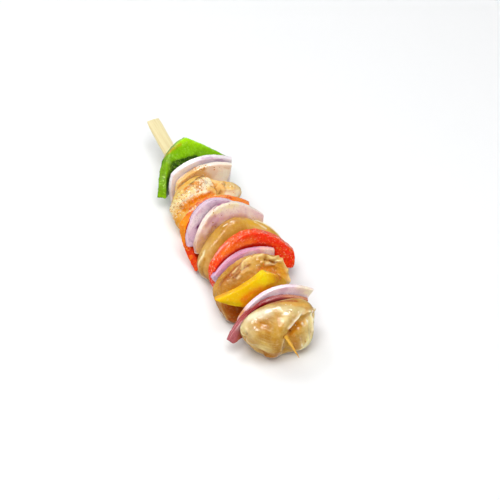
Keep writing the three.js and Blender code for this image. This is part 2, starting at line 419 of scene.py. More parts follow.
def roughen(shader, height, depth, waves, wave_depth):
    """Bumps the surface, and the wet film on it with waves. A height of 1 is as high as the depth."""
    for socket, value, distance in (("Normal", height, depth), ("Coat Normal", waves, wave_depth)):
        bump = put("Bump", {"Strength": 0.6, "Distance": distance, "Height": value}).outputs[0]
        feed(bump, shader.inputs[socket])


def meat_finish(name, look):
    made, shader, where, ripples, waves = wet_finish(
        name, scale=240, film_roughness=look["film"], wetness=look["wet"],
        glow=0.25, glow_colour=(1.0, 0.5, 0.2), glow_depth=2 * MM,
    )
    fat, pale, flesh, juice, deep = (look[part] for part in ("fat", "pale", "flesh", "juice", "deep"))
    turn = Vector(look["grain"]).to_track_quat("Z", "Y").inverted().to_euler()
    along = put("Mapping", {"Vector": where, "Rotation": turn}).outputs[0]
    fibres = placed(fibre_effect, {"Vector": along, "Strands": 800, "Length": 70})
    patches = clouds(where, 120, 3, 0.55)
    mottle = clouds(where, 600, 3, 0.6)
    recess, ridge = mark_of(made, "recess"), mark_of(made, "ridge")
    under = times(mark_of(made, "under"), look["under"])
    colour = over(flesh, pale, patches, 0.35, 0.65)
    colour = over(colour, fat, fibres["Strands"], 0.5, 0.72, 0.2)
    colour = over(colour, juice, fibres["Bands"], 0.5, 0.3, 0.3)
    colour = over(colour, fat, ridge, 0.1, 0.9, 0.4)
    colour = over(colour, juice, ridge, -0.1, -0.9, 0.45)
    # Painted shade on the lower side: the juice colour here, and the dark colour after the paint.
    colour = over(colour, juice, under, 0.3, 1.0, 0.5)
    colour = painted(colour, between(patches, 0.25, 0.6, 0.75, 1.25))
    colour = over(colour, deep, under, 0.5, 1.1, 0.35)
    colour = over(colour, fat, mottle, 0.45, 0.75, 0.3 * look["mottle"])
    colour = over(colour, juice, mottle, 0.5, 0.25, 0.4 * look["mottle"])
    # Painted shade in clefts: the juice colour, partly marinade that pools there, then the dark colour.
    colour = over(colour, juice, recess, 0.12, 0.5, 0.6)
    colour = over(colour, deep, recess, 0.4, 0.8)
    spices = placed(spice_effect, {"Vector": where, "Color": colour, "Amount": mark_of(made, "spice")})
    feed(spices["Color"], shader.inputs["Base Color"])
    height = plus(plus(fibres["Strands"], ripples), times(spices["Height"], 0.15))
    roughen(shader, height, 0.2 * MM, waves, look["waves"] * MM)
    return made


def chicken_chunk(node, folds, paint, spice, **look):
    """One chunk with its folds, its crust of spices and the colours that the marinade leaves on it."""
    piece = evened(node, node.replace("chicken", "chicken_chunk"), CHICKEN_VOXEL, softening=12)
    mark_shade_masks(piece)
    points = refined(piece)
    uneven = shaken(points, look["shake"] * MM)
    spiced = stroked(uneven, spice)
    mark(piece, "spice", spiced)
    mark_paint(piece, uneven, paint, look)
    across = points @ np.array(Vector(look["grain"]).to_track_quat("Z", "Y").to_matrix())
    relief = 0.6 * lumps(points, 9, 1) + 0.35 * lumps(points, 4, 2)
    relief += 0.45 * lumps(across, (1.6, 1.6, 14), 3)
    relief += 0.25 * lumps(across, (0.8, 0.8, 7), 8)
    mark(piece, "ridge", relief)
    crust = np.clip(spiced, 0, 1) * (0.35 * lumps(points, 1.8, 9) + 0.1 * lumps(points, 1, 10))
    raise_surface(piece, (relief * look["ripple"] + crust + stroked(uneven, folds)) * MM)
    piece.data.materials.append(meat_finish(piece.name, look))
    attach(piece, "root")
    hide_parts(node)


# A chunk's look: the colours of its fat, flesh and juice, and the dark colour of its painted shade in clefts;
# the way its fibres run; how much its surface ripples, is mottled, and shakes the strokes' edges; how wet it
# is, and how rough and wavy that film is; and how much painted shade darkens its lower side. A stroke has an
# amount, a width and the points that it goes through, in millimetres. Folds raise or sink the surface. Paint
# is one of the chunk's own colours or another, each stroke over those before it. Spice is a crust of ground
# spices.
chicken_chunk(
    "chicken_1", fat="#fdeeb2", pale="#f6d478", flesh="#ecb440", juice="#e69a10", deep="#a8480a",
    grain=(0.1, 0.6, 0.5), ripple=0.5, mottle=1, shake=0.8, wet=0.55, film=0.1, waves=0.26, under=0.8,
    folds=[
        (1.5, 3.4, (-36, -22, 16), (-34, -19, 22), (-32, -16, 26), (-33, -9, 30), (-37, -2, 31)),
        (-1.9, 2, (-29, -18, 20), (-28, -14, 25), (-27, -8, 28), (-27, -1, 29), (-28, 3, 28)),
        (-2.2, 1.2, (-42, 8, 27), (-38, 8, 28), (-32, 7, 28), (-28, 7, 26)),
        (1, 2.4, (-36, 11, 28), (-30, 11, 27)),
        (1, 2.6, (-33, -3, 31), (-38, 2, 31)),
        (-0.9, 1.2, (-36, -13, 29), (-38, -7, 31), (-36, -4, 31)),
        (-1.8, 1.2, (-38, 16, 25), (-35, 15, 26), (-31, 13, 26)),
        (0.9, 1.2, (-30, 12, 26), (-30, 16, 25), (-31, 21, 22)),
    ],
    paint=[
        ("#f0c070", 1, 4, (-37, 11, 28), (-30, 11, 27)),
        ("#fae6ac", 1, 2.6, (-36, -22, 16), (-34, -19, 22), (-32, -15, 26), (-32, -9, 29), (-31, -4, 30)),
        ("#ead8a8", 0.8, 4, (-37, -22, 13), (-40, -21, 16)),
        ("#fff2cc", 1.6, 3.4, (-33, -3, 31), (-37, 2, 31), (-40, 5, 28)),
        ("#e08c14", 1.1, 1.7, (-37, -12, 30), (-38, -7, 31), (-36, -4, 31)),
        ("#ea8a04", 1.3, 1.7, (-29, -17, 21), (-28, -13, 26), (-28, -8, 28), (-28, -1, 29), (-28, 3, 28)),
        ("#fff4d8", 1, 0.7, (-32, -17, 25), (-31, -12, 28), (-31, -6, 30), (-30, -1, 30)),
        ("#c87810", 1, 0.9, (-34, -6, 31), (-35, 0, 32), (-36, 5, 30)),
        ("#b86c10", 0.9, 0.8, (-33, 3, 30), (-32, 5, 29), (-30, 7, 28)),
        ("#d84408", 1.2, 1.4, (-26, -14, 23), (-25, -8, 26), (-25, -2, 28)),
        ("#7e420c", 1.3, 1.1, (-38, -10, 29), (-40, -6, 30), (-43, -1, 29), (-45, 3, 28)),
        ("#cf8414", 1.1, 0.9, (-42, 8, 27), (-38, 8, 28), (-32, 7, 28)),
        ("#9a6414", 1.1, 0.8, (-30, 9, 27), (-29, 8, 26)),
        ("#e0c080", 1.3, 3.2, (-36, 17, 26), (-33, 21, 24)),
        ("#fff0cc", 1.6, 2, (-28, 13, 24), (-28, 21, 22)),
        ("juice", 0.8, 3.6, (-30, -22, 11), (-27, -21, 16)),
    ],
    spice=[
        (1.4, 8, (-35, -20, 18), (-34, -14, 27), (-34, -6, 30), (-37, 1, 30)),
        (0.5, 4, (-34, 12, 27)),
    ],
)
chicken_chunk(
    "chicken_2", fat="#ecce8c", pale="#cf9c3a", flesh="#be8128", juice="#bc7c10", deep="#7c4210",
    grain=(0.2, 0, 0.9), ripple=0.2, mottle=0.35, shake=0.3, wet=0.62, film=0.22, waves=0.13, under=1,
    folds=[
        (-0.5, 4, (6, -18, 25), (8, -10, 29)),
        (0.7, 1, (13, -22, 19), (13, -24, 15), (14, -24, 9), (15, -22, 3)),
        (-0.5, 1.2, (17, -24, 13), (18, -23, 6)),
        (0.6, 1, (6, 18, 28), (9, 23, 25), (12, 28, 21), (16, 31, 17)),
    ],
    paint=[
        ("#deaa34", 0.8, 5.5, (10, 13, 31), (11, 19, 28), (15, 25, 23)),
        ("#d8ae62", 0.9, 6, (9, -18, 22), (16, -21, 12)),
        ("#fbe6b4", 1.6, 0.8, (11, -20, 22), (13, -22, 19), (13, -24, 15), (14, -24, 9), (15, -22, 3)),
        ("#b87c18", 1, 1, (15, -21, 19), (17, -24, 13), (18, -23, 6)),
        ("#fdeec4", 1.6, 0.8, (5, 16, 29), (9, 23, 25), (12, 28, 21), (16, 31, 17)),
        ("#fdeec4", 1.2, 0.6, (8, 15, 30), (12, 21, 26)),
        ("#a87c34", 0.5, 0.8, (2, -5, 31), (12, -8, 29)),
        # Painted highlights: two small white streaks on the top.
        ("#fff6dc", 1.3, 0.9, (5, 1, 33), (6, 5, 32)),
        ("#fff6dc", 0.9, 0.6, (5, -4, 32), (5, -2, 33)),
        ("#5c4a1c", 1.3, 0.5, (15, -24, 14), (15, -24, 13)),
    ],
    spice=[(0.1, 30, (10, 0, 25))],
)
chicken_chunk(
    "chicken_3", fat="#f2d894", pale="#d6a24a", flesh="#be8828", juice="#d68604", deep="#7c3404",
    grain=(0.3, 0.8, -0.5), ripple=0.75, mottle=0.6, shake=0.6, wet=0.6, film=0.1, waves=0.1, under=1,
    folds=[
        (1.1, 1.2, (42, -8, 30), (38, -5, 31), (37, -1, 31), (37, 3, 31), (38, 7, 31)),
        (1.2, 0.9, (38, 7, 31), (39, 10, 30), (41, 12, 30), (41, 15, 29), (39, 17, 28)),
        (-1.5, 0.8, (40, 8, 30), (42, 11, 29), (43, 13, 28)),
        (1.2, 1, (42, 5, 30), (43, 7, 29), (44, 11, 28), (43, 14, 28), (42, 17, 27)),
        (1.3, 1.2, (42, 17, 27), (44, 18, 26), (46, 19, 23), (48, 19, 19), (52, 18, 14)),
        (-1.4, 1.6, (45, 4, 29), (46, 10, 27), (47, 15, 24)),
        (1.2, 1.3, (46, 20, 22)),
        (1.2, 1.3, (50, 19, 17)),
        (-1.2, 0.9, (48, 20, 20)),
        (-1.2, 0.9, (52, 18, 14)),
        (0.9, 0.8, (44, 18, 28), (48, 15, 23), (52, 13, 17)),
        (0.8, 0.7, (45, 15, 28), (49, 12, 23)),
        (-1, 2, (44, -17, 26), (43, -12, 29), (42, -6, 30)),
        (0.8, 1.2, (46, -15, 27), (45, -10, 29), (45, -3, 30)),
        (0.7, 1.4, (46, -23, 16), (51, -24, 10), (56, -23, 4)),
    ],
    paint=[
        ("#a4520a", 1.2, 2.6, (43, -21, 22), (41, -15, 28), (39, -8, 30)),
        ("#b47c3c", 0.8, 2, (46, -18, 25), (45, -12, 28)),
        ("#8e4406", 0.9, 0.8, (45, -15, 28), (43, -9, 30), (42, -3, 31)),
        ("#f6dca0", 1, 0.8, (41, -14, 29), (39, -9, 31), (38, -4, 32)),
        # Painted highlight: a small pale spot on the upper left.
        ("#f4cc94", 1, 0.7, (46, -13, 28), (46, -11, 29)),
        ("fat", 0.9, 1, (42, -8, 30), (38, -5, 31), (37, -1, 31), (37, 3, 31), (38, 7, 31)),
        ("fat", 0.8, 0.8, (39, 10, 30), (41, 12, 30), (41, 15, 29)),
        ("#fbe6b0", 1.2, 0.8, (43, 7, 29), (44, 11, 28), (43, 14, 28), (42, 17, 27)),
        ("#f8dc9c", 1.2, 1.2, (44, 18, 26), (46, 19, 23), (48, 19, 19), (52, 18, 14)),
        ("juice", 1.3, 2.6, (46, 3, 28), (46, 8, 27), (46, 13, 25), (49, 14, 20)),
        ("#e8ac34", 0.9, 3, (45, 16, 26), (48, 17, 20)),
        ("#945008", 1.1, 0.7, (40, 8, 30), (42, 11, 29), (43, 13, 28)),
        ("#e87a04", 1, 1.4, (46, 2, 29), (47, 7, 27), (48, 11, 24)),
        # Painted shade: the lower flap, dark under the yellow pepper.
        ("#b05000", 1.5, 7.5, (50, -14, 14), (56, -20, 10)),
        ("#c08432", 0.9, 2.6, (48, -23, 13), (53, -24, 7)),
        ("#ecc488", 1.2, 0.9, (44, -23, 18), (47, -24, 14), (52, -24, 8), (56, -23, 3)),
    ],
    spice=[(0.25, 30, (46, 0, 20))],
)
chicken_chunk(
    "chicken_4", fat="#f8e8b0", pale="#d0a446", flesh="#b47c24", juice="#c47c14", deep="#7c3e06",
    grain=(0.55, 0.8, -0.25), ripple=0.2, mottle=0.45, shake=0.3, wet=0.72, film=0.13, waves=0.09,
    under=0.4,
    folds=[
        (1.6, 0.9, (84, 20, 23), (88, 14, 27), (89, 9, 28), (92, 3, 28), (94, -1, 26), (95, -3, 22)),
        (1, 1.2, (95, -4, 22), (96, -6, 18), (96, -7, 11)),
        (-1.6, 1.6, (87, 18, 23), (90, 12, 25), (91, 8, 25), (93, 3, 24)),
        (-2.2, 1.5, (91, 6, 23), (92, 4, 22), (93, 1, 20)),
        (-1.8, 1.1, (97, -4, 21), (96, -2, 16), (95, -1, 12)),
        (-0.8, 2.6, (83, -17, 27), (87, -14, 27), (90, -12, 27)),
        (0.8, 1.1, (86, -11, 29), (89, -10, 28), (92, -10, 27), (93, -11, 25)),
        (-0.6, 3, (85, -6, 31), (90, -6, 29), (94, -8, 25)),
        (1.6, 3, (80, -23, 21)),
        (-3, 1.3, (84, -25, 20), (83, -25, 16), (82, -24, 11)),
        (-3, 1.3, (91, -21, 15), (90, -21, 11), (88, -20, 5)),
        (2.4, 2.6, (86, -24, 14)),
        (2.4, 2.4, (92, -18, 8)),
        (2.2, 3, (92, -14, 5)),
        (0.7, 0.8, (82, -23, 23), (88, -21, 20), (94, -14, 18)),
        (0.7, 0.8, (85, -23, 15), (91, -18, 12), (96, -11, 11)),
        (0.8, 0.8, (83, -24, 19), (89, -21, 16), (95, -13, 14)),
        (0.6, 0.6, (84, -24, 17), (90, -19, 14), (96, -11, 12)),
        (1.1, 0.7, (91, 10, 24), (92, 9, 22), (94, 9, 19), (96, 8, 14)),
        (1.1, 0.7, (90, 13, 24), (92, 12, 21), (95, 11, 17), (96, 11, 12)),
        (1.1, 0.8, (87, 18, 25), (90, 16, 20), (93, 15, 16)),
        (-0.9, 0.7, (90, 11, 24), (93, 10, 20), (96, 10, 14)),
        (-0.9, 0.7, (88, 15, 24), (92, 14, 19), (95, 13, 13)),
    ],
    paint=[
        ("#f4e2a0", 1, 5, (90, 16, 21), (94, 13, 14), (95, 10, 8)),
        ("#ecd890", 0.9, 5, (86, -20, 12), (92, -16, 12)),
        ("#c88a2c", 0.9, 0.7, (84, -24, 19), (89, -20, 15), (94, -14, 14)),
        ("#c08a34", 0.9, 0.4, (82, -24, 22), (87, -22, 19), (92, -17, 18)),
        ("#c08a34", 0.9, 0.4, (85, -24, 15), (90, -19, 12), (95, -12, 12)),
        ("#fff4d8", 1, 0.4, (84, -24, 18), (90, -20, 15), (95, -13, 15)),
        ("#fff4d8", 1, 0.4, (85, -23, 13), (91, -18, 11), (96, -10, 10)),
        ("#c88a2c", 0.9, 0.7, (86, -22, 10), (91, -18, 9), (95, -11, 10)),
        ("#dcc88c", 0.8, 5, (82, -4, 31), (83, 5, 30), (86, 9, 30)),
        ("#e6d098", 0.8, 4.5, (79, -22, 22), (85, -21, 21)),
        ("#dca444", 0.9, 2.6, (78, 4, 30), (82, 9, 30), (83, 14, 28)),
        ("#b4581a", 1.1, 1.2, (75, -1, 29), (76, 4, 30), (79, 11, 29)),
        # Painted highlight: a broad pale patch on the upper left.
        ("#f6eccc", 1, 3.2, (77, -18, 26), (80, -14, 29), (81, -9, 31)),
        ("#f0dca4", 0.8, 3.6, (86, 2, 30), (90, -2, 29)),
        ("#c48624", 0.7, 2.4, (85, -4, 31), (89, -5, 29), (93, -6, 26)),
        ("#c88420", 0.8, 1.8, (84, -16, 27), (87, -14, 27), (89, -12, 28)),
        ("#fff4d4", 1.2, 0.7, (84, 20, 24), (88, 14, 27), (89, 9, 28), (92, 3, 28), (94, -1, 26)),
        ("#f0dca0", 1, 0.8, (95, -2, 23), (96, -6, 18), (96, -7, 12)),
        ("fat", 1.2, 0.9, (79, -24, 21), (80, -25, 18), (83, -25, 16), (85, -24, 12), (86, -22, 8)),
        ("fat", 1.2, 0.9, (86, -22, 8), (90, -18, 5), (93, -14, 3)),
        ("#a86c18", 0.8, 0.8, (85, -15, 28), (88, -13, 28), (91, -12, 27)),
        ("#d29a34", 1, 2.2, (88, 13, 26), (91, 9, 25), (92, 5, 24)),
        ("#dc9420", 1.4, 2, (91, 6, 23), (92, 3, 22), (94, 0, 20)),
        # Painted shade: dark brown in the cleft where the stick comes out.
        ("#9a5008", 1.3, 0.7, (93, 1, 21), (95, -1, 20)),
        ("#a05c0c", 1.2, 0.8, (97, -4, 21), (96, -2, 16), (95, -1, 12)),
        # Right lobe: the amber lines are its fibres; the white lines along them are painted highlights.
        ("#fff6e0", 1.1, 0.5, (91, 10, 24), (92, 9, 22), (94, 9, 19)),
        ("#fff6e0", 1, 0.5, (90, 13, 24), (92, 12, 21), (95, 9, 17)),
        ("#fff6e0", 1.1, 0.6, (87, 18, 25), (90, 16, 20), (93, 15, 16)),
        ("#c08a28", 1, 0.5, (88, 15, 24), (92, 14, 19), (95, 13, 13)),
        ("#c08a28", 1, 0.5, (92, 8, 23), (95, 8, 18), (97, 9, 12)),
        ("#fff6e0", 1, 0.5, (93, 6, 22), (96, 6, 16), (97, 7, 10)),
        ("#fff6e0", 0.9, 0.6, (93, -12, 14), (91, -15, 10), (88, -18, 7)),
        ("#b87220", 0.8, 2.8, (95, 3, 14), (95, 4, 9)),
        # Painted highlight: a pinkish white streak below the stick's exit.
        ("#ffe6dc", 1.2, 0.6, (95, -4, 17), (95, -3, 12), (94, -3, 8)),
        ("#b4701c", 0.9, 3.2, (89, -16, 9), (92, -13, 7), (96, -10, 7)),
        ("#f2c8a4", 1.1, 0.8, (95, -8, 5)),
        ("#fdeebc", 1.2, 0.9, (95, 4, 3), (97, 8, 7), (97, 11, 11), (95, 14, 15)),
    ],
    spice=[(0.1, 30, (85, 0, 20))],
)


# ---- Bell pepper ----
# Four pieces of pepper wall, each from a pepper of another colour. The skin is smooth and glossy, the
# inner face dull and paler, and the cut edges show wet, grainy flesh.

PEPPER_VOXEL = 0.65 * MM
PEPPER_LEAN = math.radians(20)  # how far the slices lean back on the stick
PEPPER_SHAKE = 0.4 * MM  # of the edges of the paint strokes
JUST_INSIDE = 0.15 * MM  # where a look through the wall starts
WELL_INSIDE = 0.5 * MM


def mark_layers(piece, wall, lean):
    """Marks the cut edges (rim) and how far through the wall a point is (front: 1 on the side to the tip)."""
    mesh = piece.data
    own = BVHTree.FromObject(piece, bpy.context.evaluated_depsgraph_get())
    forward = Vector((math.cos(lean), 0, math.sin(lean)))
    rims, fronts = [], []
    for vertex in mesh.vertices:
        inside = vertex.co - vertex.normal * JUST_INSIDE
        through = own.ray_cast(inside, -vertex.normal)[3] or wall
        rims.append((through / wall - 1.15) / 0.6)
        inside = vertex.co - vertex.normal * WELL_INSIDE
        ahead = own.ray_cast(inside, forward)[3] or 0
        behind = own.ray_cast(inside, -forward)[3] or 0
        fronts.append(behind / max(ahead + behind, 1e-6))
    edges = np.empty(len(mesh.edges) * 2, np.int32)
    mesh.edges.foreach_get("vertices", edges)
    a, b = edges.reshape(-1, 2).T
    count = np.bincount(edges, minlength=len(rims))
    for name, values in (("rim", np.clip(rims, 0, 1)), ("front", np.clip(fronts, 0, 1))):
        for _ in range(3):
            total = np.bincount(a, values[b], len(values)) + np.bincount(b, values[a], len(values))
            values = (values + total / count) / 2
        mark(piece, name, values)


def pepper_finish(name, look):
    made, shader, where, ripples, waves = wet_finish(
        name, scale=200, film_roughness=0.08, wetness=0.85,
        glow=0.12, glow_colour=(1.0, 0.4, 0.1), glow_depth=1.5 * MM,
    )
    deep, blotch = look["deep"], look["blotch"]
    rim = between(mark_of(made, "rim"), 0.25, 0.75)
    front = between(mark_of(made, "front"), 0.35, 0.75)
    wet = maths("MAXIMUM", rim, times(front, 0.5))
    mottle = clouds(where, 260, 3, 0.6)
    spots = clouds(where, 480, 3, 0.65)
    fine = clouds(where, 720, 3, 0.62)
    cells = put("TexVoronoi", {"Vector": where, "Scale": 1100}, feature="F1").outputs["Distance"]
    colour = mixed(rim, mixed(front, look["skin"], look["inner"]), look["flesh"])
    colour = over(colour, blotch, mottle, 0.45, 0.68, 0.7, wet)
    colour = painted(colour, between(mottle, 0.3, 0.6, 0.9, 1.1))
    # Pits in the cut flesh, in the same dark colour as the painted shade.
    colour = over(colour, deep, fine, 0.5, 0.36, look["pits"], wet)
    colour = over(colour, blotch, spots, 0.5, 0.6, 0.6, wet)
    grainy = times(between(mottle, 0.4, 0.55), wet)
    colour = over(colour, look["speck"], fine, 0.54, 0.66, look["grains"], grainy)
    # Painted shade in hollows and where pieces meet.
    colour = over(colour, deep, mark_of(made, "recess"), 0.12, 0.55)
    feed(colour, shader.inputs["Base Color"])
    height = times(plus(cells, fine), between(wet, 0, 1, 0.05, 0.9))
    waves = plus(height, waves)
    height = plus(height, ripples)
    roughen(shader, height, 0.3 * MM, waves, 0.4 * MM)
    return made


def pepper_slice(node, paint, **look):
    """One slice, with paint strokes for what the skin, the flesh and the marinade do to its colour."""
    piece = evened(node, node + "_slice", PEPPER_VOXEL, softening=2)
    mark_shade_masks(piece)
    mark_layers(piece, look["wall"] * MM, PEPPER_LEAN)
    points = refined(piece)
    mark_paint(piece, shaken(points, PEPPER_SHAKE), paint, look)
    relief = 0.25 * lumps(points, 6, 4) + look["rough"] * lumps(points, 1.6, 5)
    raise_surface(piece, relief * MM)
    piece.data.materials.append(pepper_finish(piece.name, look))
    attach(piece, "root")
    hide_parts(node)


# A slice's look: the colours of its skin, inner face and cut flesh, the dark colour of its painted shade in
# hollows (its pits share it), the blotches on its flesh and the bright grains in it; its wall in millimetres;
# and how rough, pitted and grainy the flesh is.
pepper_slice(
    "green_pepper", skin="#3f8402", inner="#90d000", flesh="#74a002", deep="#2c5000", blotch="#78b800",
    speck="#c2e85c", wall=6, rough=0.14, pits=0.2, grains=0.8,
    paint=[
        ("#b4f004", 1, 2.4, (-74, -2, 35), (-74, 4, 35), (-72, 9, 32), (-71, 15, 29)),
        ("#94d204", 0.8, 2, (-69, 2, 31), (-68, 9, 29)),
        ("#62a004", 0.4, 1.8, (-67, 8, 28), (-67, 15, 26), (-67, 22, 22)),
        # Painted shade: the dark hollow under the roof, behind the onion.
        ("deep", 5, 2.4, (-66, -8, 24), (-61, -12, 19), (-56, -15, 12)),
        ("deep", 5, 1.6, (-66, -8, 25), (-66, -1, 25), (-66, 6, 25)),
        ("#d8a420", 1.1, 0.9, (-72, -12, 28), (-71, -9, 32), (-72, -5, 33), (-73, -1, 34)),
        ("#7aa604", 1.1, 2.4, (-69, -12, 28), (-63, -16, 22), (-57, -20, 14), (-55, -21, 9)),
        ("#5c9004", 0.9, 0.7, (-71, 4, 35), (-66, 8, 30)),
    ],
)
pepper_slice(
    "orange_pepper", skin="#ff4400", inner="#ff8e00", flesh="#ff7c04", deep="#e03400", blotch="#ff8a08",
    speck="#ffc878", wall=6, rough=0.14, pits=0.3, grains=0.4,
    paint=[
        ("#ff9a00", 1.3, 6.5, (-12, -26, 26), (-10, -26, 18)),
        ("#f03400", 1.5, 7, (0, -25, 11), (3, -23, 4)),
        # Painted highlights: cream glints on the wet rim.
        ("#fff0d4", 1.2, 1.2, (-17, -19, 31), (-15, -15, 34), (-14, -10, 35)),
        ("#e84404", 1.2, 0.9, (-15, -20, 30), (-13, -15, 33), (-13, -9, 34)),
        ("#d83c04", 1, 1.5, (-16, -10, 34), (-15, -2, 35)),
        ("#d83c04", 1, 1.3, (-15, 4, 34), (-15, 9, 33)),
        ("#ff8400", 1.5, 3.4, (-15, 15, 30), (-14, 20, 27)),
        ("#ff9c50", 1, 0.8, (-17, 4, 35), (-17, 10, 33)),
    ],
)
pepper_slice(
    "red_pepper", skin="#f81e00", inner="#ff3004", flesh="#ff4208", deep="#c01000", blotch="#ff7018",
    speck="#ffc8bc", wall=7, rough=0.2, pits=0.45, grains=0.7,
    paint=[
        ("#ff8018", 0.8, 2.8, (25, -13, 30), (25, -4, 32), (24, 5, 31)),
        # Painted highlights: pink-white glints along the top-left edge.
        ("#ffb0a4", 1, 0.9, (22, -20, 24), (22, -17, 27), (21, -14, 29), (20, -8, 32)),
        ("#ff3010", 0.9, 2.4, (23, 13, 34), (25, 19, 30), (28, 24, 26), (33, 28, 18)),
        ("#ff3c04", 1.1, 4, (27, -23, 18), (31, -23, 14)),
    ],
)
pepper_slice(
    "yellow_pepper", skin="#f0a800", inner="#fccc00", flesh="#f8bc00", deep="#e88a04", blotch="#f8b800",
    speck="#fff290", wall=6, rough=0.1, pits=0.3, grains=0.35,
    paint=[
        # Painted light: the apex made lighter, where it faces the light.
        ("#fff010", 1, 3.6, (53, 0, 33), (55, -1, 31)),
        ("#f0a004", 0.9, 3, (56, 7, 31), (57, 11, 27), (58, 15, 22)),
        ("#fac000", 0.9, 1, (53, 4, 32), (54, 8, 30), (56, 13, 26)),
        # Painted shade: orange along the lower edge, next to the onion.
        ("#f08400", 1.1, 2.6, (61, -15, 24), (60, -10, 26), (60, -3, 27)),
        ("#c8a808", 0.8, 1.5, (59, -28, 25), (61, -23, 24), (62, -18, 22)),
        ("#c45c06", 1, 1.2, (60, 1, 28), (60, 4, 28)),
        ("#d86a04", 1, 1.4, (54, 9, 30), (56, 12, 27)),
    ],
)


# ---- Red onion ----
# Layers of a quartered red onion, single or two together. Each is white flesh with a thin purple skin
# on its outer side, the side to the handle, and fine veins along it. Marinade clings near the meat.

ONION_VOXEL = 0.46 * MM
ONION_WALL = 4 * MM
ONION_LEAN = math.radians(18)
ONION_SHAKE = 0.6 * MM
ONION_SINK = 0.15  # millimetres that keep the rough surface within the layer's own thickness
SMEAR_REACH = 7 * MM
SMEAR_COLOUR = "#f4c678"
VEIN_LIGHT = "#fff4f2"
MEAT = around(f"chicken_{number}" for number in (1, 2, 3, 4))


def onion_finish(name, look):
    made, shader, where, ripples, waves = wet_finish(
        name, scale=160, film_roughness=0.14, wetness=look["wet"],
        glow=0.25, glow_colour=(1.0, 0.6, 0.7), glow_depth=1.2 * MM,
    )
    skin, vein, flesh, face = (look[part] for part in ("skin", "vein", "flesh", "face"))
    front = mark_of(made, "front")
    through = put("CombineXYZ", {"X": times(front, 9)}).outputs[0]
    lines = put("VectorMath", {0: where, 1: (50, 50, 50), 2: through}, operation="MULTIPLY_ADD")
    lines = clouds(lines.outputs[0], 1, 3, 0.6)
    mottle = clouds(where, 150, 2)
    fine = clouds(where, 900, 2, 0.6)
    colour = over(flesh, face, mottle, 0.35, 0.65, 0.35)
    colour = over(colour, face, front, 0.75, 1.0)
    colour = painted(colour, between(mottle, 0.3, 0.6, 0.8, 1.2))
    colour = over(colour, vein, lines, 0.5, 0.66, 0.45)
    colour = over(colour, VEIN_LIGHT, lines, 0.48, 0.34, 0.55)
    colour = over(colour, vein, fine, 0.5, 0.34, 0.25)
    rim = between(mark_of(made, "rim"), 0.3, 0.7)
    colour = over(colour, skin, front, 0.34, 0.14, 1, between(rim, 1, 0, 0.25, 1))
    colour = over(colour, skin, front, 0.8, 0.95, 0.5, rim)
    # Painted shade in the narrow gaps, in the vein colour.
    colour = over(colour, vein, mark_of(made, "recess"), 0.6, 1.1, 0.35)
    smear = plus(mark_of(made, "smear"), times(mottle, 0.4))
    smear = plus(smear, times(fine, 0.3))
    colour = over(colour, SMEAR_COLOUR, smear, 0.6, 1.0, 0.9)
    spices = placed(spice_effect, {"Vector": where, "Color": colour, "Amount": mark_of(made, "smear")})
    feed(spices["Color"], shader.inputs["Base Color"])
    height = plus(lines, times(plus(spices["Height"], ripples), 0.5))
    roughen(shader, height, 0.15 * MM, waves, 0.06 * MM)
    return made


def onion_layer(node, paint, folds=(), slot="onion", **look):
    """One layer, with paint strokes for its veins, its purple edges and what the marinade stains."""
    piece = evened(node, node.replace("onion", "onion_layer"), ONION_VOXEL, softening=1)
    mark_shade_masks(piece)
    mark_layers(piece, ONION_WALL, ONION_LEAN)
    places = vectors(piece.data.vertices, "co").tolist()
    reach = [MEAT.find_nearest(place, SMEAR_REACH)[3] for place in places]
    near = np.array([0 if distance is None else 1 - distance / SMEAR_REACH for distance in reach])
    mark(piece, "smear", look["smear"] * near)
    points = refined(piece)
    mark_paint(piece, shaken(points, ONION_SHAKE), paint, look)
    relief = 0.2 * lumps(points, 7, 6) + 0.06 * lumps(points, 1.2, 11) - ONION_SINK
    raise_surface(piece, (relief + stroked(points, folds)) * MM)
    piece.data.materials.append(onion_finish(piece.name, look))
    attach(piece, "root")
    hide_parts(node)


# A layer's look: the colours of its skin, veins, flesh and inner face; how much marinade is smeared on
# it where meat is near; and how wet it is.
onion_layer(
    "onion_1_outer", skin="#985e98", vein="#c8acc8", flesh="#f6eef2", face="#f4e8e4", smear=0, wet=0.6,
    paint=[
        ("#c8986c", 0.9, 4, (-55, -14, 14), (-55, -14, 8)),
        ("#b478a8", 1.1, 0.9, (-57, -2, 31), (-57, 5, 32), (-56, 13, 31), (-55, 20, 28)),
    ],
)
onion_layer(
    "onion_1_inner", skin="#c490b4", vein="#f0c8b4", flesh="#fff6e6", face="#ffeacc", smear=1, wet=0.8,
    paint=[
        ("#e0b070", 0.8, 2, (-53, -4, 27), (-53, 3, 29), (-52, 8, 29)),
        ("#d28a24", 1, 2, (-50, -9, 22), (-50, -8, 25)),
        ("#d8a048", 1, 0.8, (-50, 20, 25), (-50, 23, 24)),
        ("#8c4a2c", 1.2, 0.8, (-52, -12, 13), (-53, -11, 20), (-55, -9, 24)),
        ("#e0a23c", 1, 1.4, (-52, -6, 26), (-52, 0, 28), (-51, 6, 28)),
        ("#fff4e4", 0.9, 4, (-50, 12, 25), (-50, 20, 22)),
    ],
)
onion_layer(
    "onion_2_outer", skin="#8a4c84", vein="#84487c", flesh="#ecd0dc", face="#e8bccc", smear=0, wet=0.6,
    paint=[
        ("#dcc4d8", 0.8, 2.4, (-11, -15, 34), (-11, -8, 38), (-11, 0, 39)),
        ("#84406c", 1.3, 0.9, (-6, -18, 24), (-5, -15, 30), (-7, -11, 34), (-8, -7, 37)),
    ],
)
